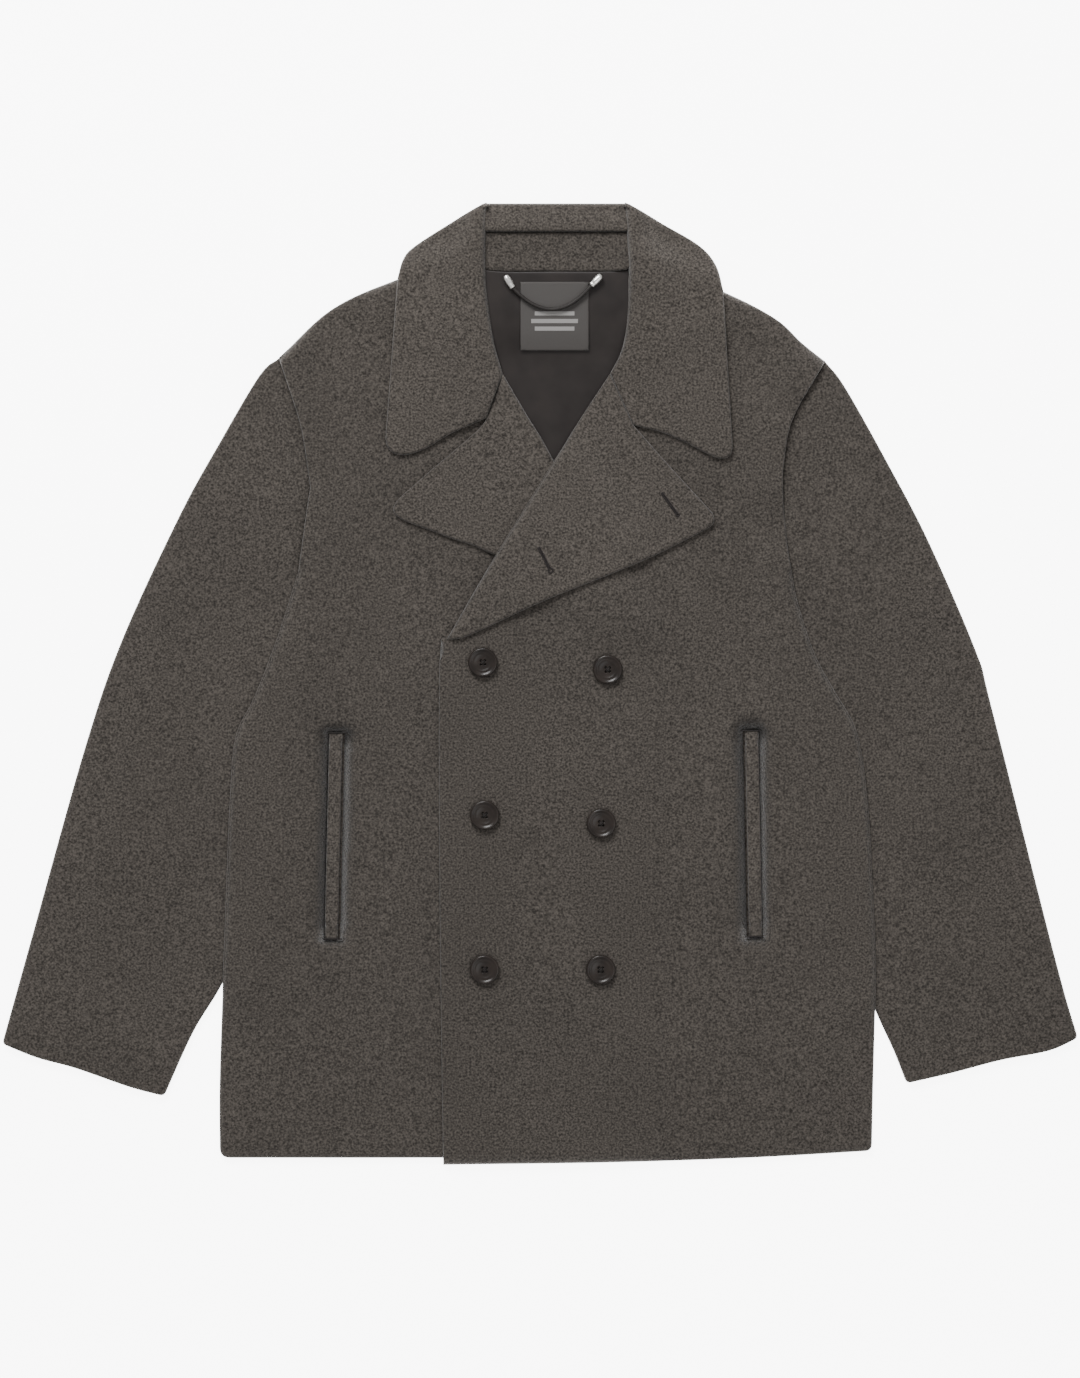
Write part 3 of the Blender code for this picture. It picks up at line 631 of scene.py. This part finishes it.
def label_finish():
    """A woven patch with three plain pale bars where a maker would weave its own matter."""
    material, tree, shader, place = nodes_of("label_weave", 0.7)
    split = tree.nodes.new("ShaderNodeSeparateXYZ")
    tree.links.new(place, split.inputs[0])
    inside = []
    for low, high, half in ((303.0, 306.5, 17.0), (309.5, 313.0, 20.0), (316.0, 319.5, 17.0)):
        for axis, middle, reach in (("Y", (low + high) / 2, (high - low) / 2), ("X", 12.5, half)):
            test = tree.nodes.new("ShaderNodeMath")
            test.operation = "COMPARE"
            test.inputs[1].default_value = middle * MM
            test.inputs[2].default_value = reach * MM
            tree.links.new(split.outputs[axis], test.inputs[0])
            inside.append(test.outputs[0])
    total = None
    for along, across in zip(inside[::2], inside[1::2]):
        both = tree.nodes.new("ShaderNodeMath")
        both.operation = "MULTIPLY_ADD"
        tree.links.new(along, both.inputs[0])
        tree.links.new(across, both.inputs[1])
        both.inputs[2].default_value = 0.0
        if total is not None:
            tree.links.new(total, both.inputs[2])
        total = both.outputs[0]
    colour = ramp(tree, total, ((0.0, (0.020, 0.017, 0.015)), (1.0, (0.15, 0.145, 0.14))))
    tree.links.new(colour, shader.inputs["Base Color"])
    bump(tree, shader, noise(tree, place, 1500.0), 0.1, 0.5)
    return material


melton = melton_finish("charcoal_melton")
# A lighter copy of the same melton for the lapels, welts and collar on top of the stack: painted
# light, 1.12 times the base colour.
melton_painted_lighter = melton_finish("charcoal_melton_painted_light", 1.12)
satin = plain_finish("lining_satin", (0.007, 0.005, 0.0045), (0.013, 0.010, 0.009), 40.0, 0.42)
label_weave = label_finish()
button_resin = plain_finish("button_resin", (0.007, 0.005, 0.004), (0.015, 0.011, 0.009), 90.0, 0.3)
thread = plain_finish("thread", (0.006, 0.005, 0.005), (0.018, 0.015, 0.014), 900.0, 0.8)
cord_braid = plain_finish("cord_braid", (0.006, 0.005, 0.005), (0.020, 0.017, 0.015), 1100.0, 0.6)
steel = plain_finish("cap_steel", (0.50, 0.49, 0.47), (0.66, 0.65, 0.62), 300.0, 0.3, 1.0, 0.02)

# %% [markdown]
# ## The panels, from the table up
# The order is the order in which they lie: the fold of the collar under the neck, the sleeves,
# the back, what lines the neck, the fronts, the lapels, and the collar's wings on top of all.

# %% Sleeves, back and neck
cut = {shape: inset(outline(names), -SEAM_LAP) for shape, names in OUTLINES.items()}
heights = {}


def panel(name, shape, thick, material, slot, on, holes=(), **edges):
    low = lay(cut[shape], thick)
    heights[name] = low
    points, faces = shell_parts(name, [cut[shape], *holes], low, thick, **edges)
    thing = add_mesh(name, points, faces, material)
    declare(name)
    return thing


behind_low = lay(cut["fall_behind"], DOUBLED)
for side in ("right", "left"):
    panel(f"sleeve_under_{side}", f"sleeve_{side}", MELTON, melton, "melton", ["table"])
    panel(
        f"sleeve_top_{side}", f"sleeve_{side}", MELTON, melton, "melton",
        [f"sleeve_under_{side}"], tucked=(f"sleeve_outer_{side}", f"sleeve_inner_{side}"),
        tuck_to=SLEEVE_TUCK, stitched=(f"cuff_{side}",),
    )
panel("back", "back", MELTON, melton, "melton", ["table"], stitched=("hem_back",))
panel("neck_lining", "neck_lining", LINING, satin, "lining", ["back"])
panel("collar_stand", "collar_stand", DOUBLED * 0.9, melton, "melton", ["back"])
band_low = lay(cut["roll_band"], DOUBLED)

# %% [markdown]
# ## Fronts, pockets and lapels
# The hand pocket is a slit with a welt: a doubled strip that shows along the slit's outer side.
# The front is cut away where the welt sits, and a dark gap is left for the mouth.

# %% Fronts with their welts, then the lapels
def strip(side, reach, slit):
    """The upright strip beside a pocket's mouth, `reach` wider all round."""
    pocket = POCKETS[side]
    top, bottom, out = np.array(pocket["top"]), np.array(pocket["bottom"]), pocket["outward"]
    across, up = np.array((out, 0.0)), np.array((0.0, 1.0))
    near, far = slit * across - reach * across, (WELT + reach) * across
    corners = [top + reach * up + near, top + reach * up + far]
    corners += [bottom - reach * up + far, bottom - reach * up + near]
    return anticlockwise(straight_sided(corners))


def make_front(side, on):
    """One front with its pocket welt and its lapel."""
    name = f"front_{side}"
    edges = (f"shoulder_{side}", f"side_{side}", f"hem_{side}")
    panel(
        name, name, MELTON, melton, "melton", on, holes=[strip(side, SEAM, 0.0)],
        tucked=edges, tuck_to=FRONT_TUCK, reach=FRONT_BEND, stitched=(f"front_{side}",),
    )
    welt = strip(side, 0.0, POCKET_SLIT)
    points, faces = shell_parts("welt", [welt], heights[name] + WELT_RISE, MELTON, grid=FINE_GRID)
    thing = add_mesh(f"pocket_welt_{side}", points, faces, melton_painted_lighter)
    declare(f"pocket_welt_{side}")
    panel(
        f"lapel_{side}", f"lapel_{side}", DOUBLED, melton_painted_lighter, "melton", [name],
        tucked=(f"roll_{side}",), tuck_to=LAPEL_TUCK, reach=LAPEL_BEND,
        stitched=(f"lapel_upper_{side}", f"lapel_lower_{side}"),
    )


left, bottom, right, top = LABEL_BOX
label_corners = ((left, bottom), (right, bottom), (right, top), (left, top))
label_loop = straight_sided([np.array(corner) for corner in label_corners])
label_low = lay(label_loop, LABEL)
points, faces = shell_parts("neck_label", [label_loop], label_low, LABEL, grid=FINE_GRID)
neck_label = add_mesh("neck_label", points, faces, label_weave)
declare("neck_label")
make_front("right", ["back"])
make_front("left", ["front_right"])

# %% [markdown]
# ## The collar
# The leaf is one doubled piece: it lies behind the neck, rolls over at the top, and its two wings
# come forward over the shoulders. The roll is a half round of cloth along the fold, from the
# middle of the layer below to the middle of the wing above.

# %% Collar leaf
def roll_strip(edge, high_field, start=0.0, steps=9):
    """A half-round strip of cloth along a fold: angle a gives out = bulge cos a, up = rise sin a.

    The strip's outer face is at full size and its inner face at `core` of it, walked back.
    """
    core = 0.35
    run = smooth_run(EDGES[edge])
    if start:
        run = shortened(run[::-1], start)[::-1]
    along = np.gradient(run, axis=0)
    along /= np.linalg.norm(along, axis=1, keepdims=True)
    out = np.stack([along[:, 1], -along[:, 0]], axis=1)
    facing = np.sum(out * (run - np.array(COLLAR_MIDDLE)), axis=1, keepdims=True)
    out = np.where(facing < 0, -out, out)
    high = read(high_field, run) + DOUBLED
    turn = np.linspace(-np.pi / 2, np.pi / 2, steps)
    middle, rise = (high + COLLAR_LOW) / 2, (high - COLLAR_LOW) / 2
    rows = []
    for shrink, walk in ((1.0, turn), (core, turn[::-1])):
        for angle in walk:
            flat = run + out * (COLLAR_BULGE * math.cos(angle) * shrink - DOUBLED * 0.9)
            rows.append(np.column_stack([flat, middle + rise * shrink * math.sin(angle)]))
    ring, count = len(rows), len(run)
    points = np.vstack(rows)
    faces = []
    for r in range(ring):
        nxt = (r + 1) % ring
        for k in range(count - 1):
            faces.append((r * count + k, r * count + k + 1, nxt * count + k + 1, nxt * count + k))
    faces.append(tuple(r * count for r in range(ring)))
    faces.append(tuple(r * count + count - 1 for r in reversed(range(ring))))
    return points, faces


def joined(name, parts, material):
    """One mesh of several closed ones, with every face turned outwards."""
    mesh = bmesh.new()
    for points, faces in parts:
        corners = [mesh.verts.new(p) for p in np.asarray(points) * MM]
        for face in faces:
            mesh.faces.new([corners[int(k)] for k in face])
    bmesh.ops.recalc_face_normals(mesh, faces=mesh.faces)
    data = bpy.data.meshes.new(name)
    mesh.to_mesh(data)
    mesh.free()
    return show(name, data, material)


collar_parts = [shell_parts("fall_behind", [cut["fall_behind"]], behind_low, DOUBLED)]
collar_parts.append(shell_parts("roll_band", [cut["roll_band"]], band_low, DOUBLED, grid=FINE_GRID))
for side in ("right", "left"):
    shape = f"wing_{side}"
    wing_low = lay(cut[shape], DOUBLED)
    collar_parts.append(
        shell_parts(
            shape, [cut[shape]], wing_low, DOUBLED, grid=WING_GRID,
            tucked=(f"wing_roll_{side}",), tuck_to=WING_TUCK, reach=WING_BEND,
            stitched=(f"wing_lower_{side}", f"wing_outer_{side}"),
        )
    )
    collar_parts.append(roll_strip(f"wing_top_{side}", wing_low, start=COLLAR_SHOULDER))
collar_parts.append(roll_strip("collar_top", band_low))
collar_leaf = joined("collar_leaf", collar_parts, melton_painted_lighter)
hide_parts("collar_leaf")

# %% [markdown]
# ## Buttons
# A coat button is turned on a lathe: a dished middle, a raised rim, a round edge, and four drilled
# holes crossed with thread. The lathe is a profile spun round Z, and the holes are cut from it.

# %% Buttons and their thread
SECTION = (
    (0.0, 2.5), (3.6, 2.5), (5.6, 2.6), (6.9, 3.0), (7.7, 3.25), (8.7, 3.05), (9.6, 3.4),
    (10.6, 4.1), (11.3, 4.2), (12.1, 3.8), (12.6, 3.0), (12.7, 2.3), (12.5, 1.4), (11.8, 0.7),
    (10.4, 0.1), (9.0, 0.0), (0.0, 0.0),
)
HOLE_OUT = 2.3
HOLE_RADIUS = 1.1


def turned(section, steps=56):
    """A profile of radius and height spun about Z; the two ends on the axis are single points."""
    turn = np.linspace(0, 2 * np.pi, steps, endpoint=False)
    inner = section[1:-1]
    points = [(0, 0, section[0][1]), (0, 0, section[-1][1])]
    for radius, height in inner:
        points += [(radius * math.cos(a), radius * math.sin(a), height) for a in turn]
    faces = []
    for k in range(steps):
        n = (k + 1) % steps
        faces.append((0, 2 + k, 2 + n))
        for row in range(len(inner) - 1):
            a, b = 2 + row * steps, 2 + (row + 1) * steps
            faces.append((a + k, b + k, b + n, a + n))
        last = 2 + (len(inner) - 1) * steps
        faces.append((1, last + n, last + k))
    return np.array(points, float), faces


def drilled(points, faces):
    """The turned button with its four holes cut right through, as plain points and faces."""
    mesh = bmesh.new()
    corners = [mesh.verts.new(p) for p in points]
    for face in faces:
        mesh.faces.new([corners[k] for k in face])
    bmesh.ops.recalc_face_normals(mesh, faces=mesh.faces)
    data = bpy.data.meshes.new("button_blank")
    mesh.to_mesh(data)
    mesh.free()
    blank = bpy.data.objects.new("button_blank", data)
    drills = bmesh.new()
    for number in range(4):
        angle = math.pi / 4 + math.pi / 2 * number
        made = bmesh.ops.create_cone(
            drills, cap_ends=True, segments=16, radius1=HOLE_RADIUS, radius2=HOLE_RADIUS,
            depth=4 * BUTTON_THICK,
        )
        shift = (HOLE_OUT * math.cos(angle), HOLE_OUT * math.sin(angle), 0)
        bmesh.ops.translate(drills, verts=made["verts"], vec=shift)
    tool_data = bpy.data.meshes.new("drills")
    drills.to_mesh(tool_data)
    drills.free()
    tool = bpy.data.objects.new("drills", tool_data)
    for thing in (blank, tool):
        bpy.context.scene.collection.objects.link(thing)
    modifier = blank.modifiers.new("holes", "BOOLEAN")
    modifier.operation, modifier.object, modifier.solver = "DIFFERENCE", tool, "EXACT"
    bpy.context.view_layer.update()
    seen = blank.evaluated_get(bpy.context.evaluated_depsgraph_get()).to_mesh()
    cut_points = np.array([tuple(v.co) for v in seen.vertices])
    cut_faces = [tuple(f.vertices) for f in seen.polygons]
    for thing in (blank, tool):
        bpy.data.objects.remove(thing, do_unlink=True)
    return cut_points, cut_faces


def tube(path, radius, sides=8, loop=False):
    """A round tube along a path; flat end caps, or none if the path is a closed loop."""
    path = np.asarray(path, float)
    if loop:
        along = np.roll(path, -1, axis=0) - np.roll(path, 1, axis=0)
    else:
        along = np.gradient(path, axis=0)
    along /= np.linalg.norm(along, axis=1, keepdims=True)
    side = np.cross(along, (0.0, 0.0, 1.0))
    side /= np.maximum(np.linalg.norm(side, axis=1, keepdims=True), 1e-9)
    up = np.cross(side, along)
    turn = np.linspace(0, 2 * np.pi, sides, endpoint=False)
    ring = side[:, None] * np.cos(turn)[:, None] + up[:, None] * np.sin(turn)[:, None]
    points = (path[:, None] + radius * ring).reshape(-1, 3)
    count = len(path)
    faces = []
    for k in range(count if loop else count - 1):
        a, b = k * sides, ((k + 1) % count) * sides
        for s in range(sides):
            t = (s + 1) % sides
            faces.append((a + s, a + t, b + t, b + s))
    if not loop:
        faces.append(tuple(range(sides))[::-1])
        faces.append(tuple((count - 1) * sides + s for s in range(sides)))
    return points, faces


button_points, button_faces = drilled(*turned(SECTION))
thread_parts = []
front_top = heights["front_left"] + MELTON
for name, (x, y) in BUTTONS.items():
    turn = np.linspace(0, 2 * np.pi, 33)
    rim = np.column_stack([x + BUTTON_RADIUS * np.cos(turn), y + BUTTON_RADIUS * np.sin(turn)])
    lift = read(front_top, rim).max() + BUTTON_AIR
    thing = add_mesh(name, button_points + (x, y, lift), button_faces, button_resin)
    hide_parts(name)
    for sign in (1, -1):
        reach = HOLE_OUT * math.cos(math.pi / 4)
        t = np.linspace(-1, 1, 9)[:, None]
        flat = np.hstack([t * reach, sign * t * reach]) + (x, y)
        high = lift + 2.5 + 0.75 * (1 - t**4) - 1.5 * t**8 + 0.15 * sign
        thread_parts.append(tube(np.hstack([flat, high]), THREAD_RADIUS))
    thread_parts.append(tube([(x, y, lift - 1.2), (x, y, lift + 0.6)], 2.2))
threads = joined("button_threads", thread_parts, thread)
print("button faces each:", len(button_faces), "- thread runs:", len(thread_parts))

# %% [markdown]
# ## Buttonholes and bar tacks
# A tailor's buttonhole is a slit bound in close purl stitches, with a round eye at the end where
# the shank sits. Each is one round cord of thread that follows the slit and its eye. Bar tacks are
# short bars of the same thread across a pocket's ends, where it would tear.

# %% Stitched details
HOLES = (
    {"start": (-1.0, 116.5), "end": (9.0, 97.0), "eye": 1.9},
    {"start": (104.5, 163.5), "end": (118.0, 145.0), "eye": 1.2},
)
SLIT = 0.7  # from a slit's middle to the purl on each side
PURL_RISE = 0.25  # of the purl's middle above the cloth
TACK_RISE = 0.75


def keyhole(start, end, eye):
    """A closed path round a slit: straight sides SLIT out, and a round eye at the far end."""
    start, end = np.array(start), np.array(end)
    way = (end - start) / np.linalg.norm(end - start)
    side = np.array((-way[1], way[0]))
    share = np.linspace(0, 1, 26)[:, None]
    one = start + (end - way * eye - start) * share + SLIT * side
    turn = np.linspace(math.pi - 0.5, -math.pi + 0.5, 16)[:, None]
    round_eye = end + eye * (np.cos(turn) * way + np.sin(turn) * side)
    other = one[::-1] - 2 * SLIT * side
    return np.vstack([one, round_eye, other])


# Panels that can carry a buttonhole, and their thickness.
UPPER_PANELS = {
    "front_right": MELTON, "lapel_right": DOUBLED, "front_left": MELTON, "lapel_left": DOUBLED,
}
detail_parts = []
for hole in HOLES:
    flat = keyhole(hole["start"], hole["end"], hole["eye"])
    held = [key for key in UPPER_PANELS if covers([cut[key]], flat[:1, 0], flat[:1, 1])[0]]
    tops = [heights[key] + UPPER_PANELS[key] for key in held]
    high = np.max([read(top, flat) for top in tops], axis=0) + PURL_RISE
    detail_parts.append(tube(np.column_stack([flat, high]), PURL_RADIUS, loop=True))
for side in POCKETS:
    for end in ("top", "bottom"):
        x, y = POCKETS[side][end]
        out = POCKETS[side]["outward"]
        t = np.linspace(-2.0, WELT + 1.0, 9)[:, None]
        flat = np.hstack([x + out * t, y + 0 * t])
        high = read(heights[f"front_{side}"] + MELTON, flat)[:, None] + TACK_RISE
        detail_parts.append(tube(np.hstack([flat, high]), THREAD_RADIUS))
details = joined("stitched_details", detail_parts, thread)
print("stitched details:", len(detail_parts))

# %% [markdown]
# ## The hanging loop
# A short limp cord between two crimped metal caps. It sags as a shallow parabola just above the
# label, from one cap to the other.

# %% Cord and caps
label_top = (read(label_low, np.array([LOOP["low"]])) + LABEL)[0]
cord_z = label_top + CORD_AIR + CORD_RADIUS
ends = {key: np.array((*place, cord_z)) for key, place in LOOP.items()}
t = np.linspace(0, 1, 27)[:, None]
through = 2 * ends["low"] - (ends["right"] + ends["left"]) / 2
route = (1 - t) ** 2 * ends["right"] + 2 * t * (1 - t) * through + t**2 * ends["left"]
curve = bpy.data.curves.new("hanger_loop", "CURVE")
curve.dimensions = "3D"
curve.bevel_depth = CORD_RADIUS * MM
curve.bevel_resolution = 3
curve.use_fill_caps = True
line = curve.splines.new("POLY")
line.points.add(len(route) - 1)
line.points.foreach_set("co", np.column_stack([route * MM, np.ones(len(route))]).ravel())
curve.materials.append(cord_braid)
loop_cord = bpy.data.objects.new("hanger_loop", curve)
bpy.context.scene.collection.objects.link(loop_cord)
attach(loop_cord, "root")
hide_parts("hanger_loop")
CAP_SECTION = (
    (0.0, 0.0), (2.1, 0.0), (2.7, 0.5), (2.9, 1.6), (2.5, 2.4), (2.9, 3.2), (3.1, 5.0),
    (3.1, 9.5), (2.7, 11.6), (1.8, 12.7), (0.0, 13.0),
)
for side, end in LOOP_CAPS.items():
    way = np.array((*end, cord_z)) - ends[side]
    way /= np.linalg.norm(way)
    sideways = np.cross(way, (0.0, 0.0, 1.0))
    basis = np.stack([sideways, np.cross(sideways, way), way])
    cap_points, cap_faces = turned(CAP_SECTION, 28)
    placed = cap_points @ basis + ends[side] + 0.3 * way
    cap = joined(f"loop_end_{side}", [(placed, cap_faces)], steel)
    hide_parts(f"loop_end_{side}")

# %% [markdown]
# ## Table, light and camera
# Soft light from above the collar and a little from the wearer's right shapes the folds without
# hard shadows, and a pale table throws some of it back under the edges.

# %% Stage
floor_mesh = bpy.data.meshes.new("table_top")
floor_mesh.from_pydata([(-6, -6, 0), (6, -6, 0), (6, 6, 0), (-6, 6, 0)], [], [(0, 1, 2, 3)])
floor = bpy.data.objects.new("table_top", floor_mesh)
floor.location.z = -0.0006
bpy.context.scene.collection.objects.link(floor)
floor_finish, floor_tree, floor_shader, _ = nodes_of("table_white", 0.9)
floor_shader.inputs["Base Color"].default_value = (0.93, 0.93, 0.93, 1.0)
floor_shader.inputs["Emission Color"].default_value = (1.0, 1.0, 1.0, 1.0)
floor_shader.inputs["Emission Strength"].default_value = 7.0
floor_mesh.materials.append(floor_finish)
floor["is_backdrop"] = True


def area_light(name, place, size, power):
    data = bpy.data.lights.new(name, "AREA")
    data.size, data.energy = size, power
    lamp = bpy.data.objects.new(name, data)
    lamp.location = place
    back = lamp.location.normalized()
    lamp.rotation_euler = back.to_track_quat("Z", "Y").to_euler()
    bpy.context.scene.collection.objects.link(lamp)
    return lamp


area_light("key", (-0.9, 2.6, 2.4), 1.4, 210.0)
area_light("fill", (1.6, -1.2, 3.0), 2.4, 45.0)
world = bpy.data.worlds.new("studio")
world.use_nodes = True
world.node_tree.nodes["Background"].inputs["Color"].default_value = (1.0, 1.0, 1.0, 1.0)
world.node_tree.nodes["Background"].inputs["Strength"].default_value = 0.9
bpy.context.scene.world = world
camera_data = bpy.data.cameras.new("above")
camera_data.lens = 100
camera_data.sensor_width = 36
camera = bpy.data.objects.new("above", camera_data)
camera.location = (0.0, -0.0043, 3.292)
bpy.context.scene.collection.objects.link(camera)
bpy.context.scene.camera = camera

# %% [markdown]
# ## Sizes
# The box round the looks is printed, in millimetres.

low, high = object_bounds()
print("visual box, mm:", [round(v / MM, 1) for v in (*low, *high)])
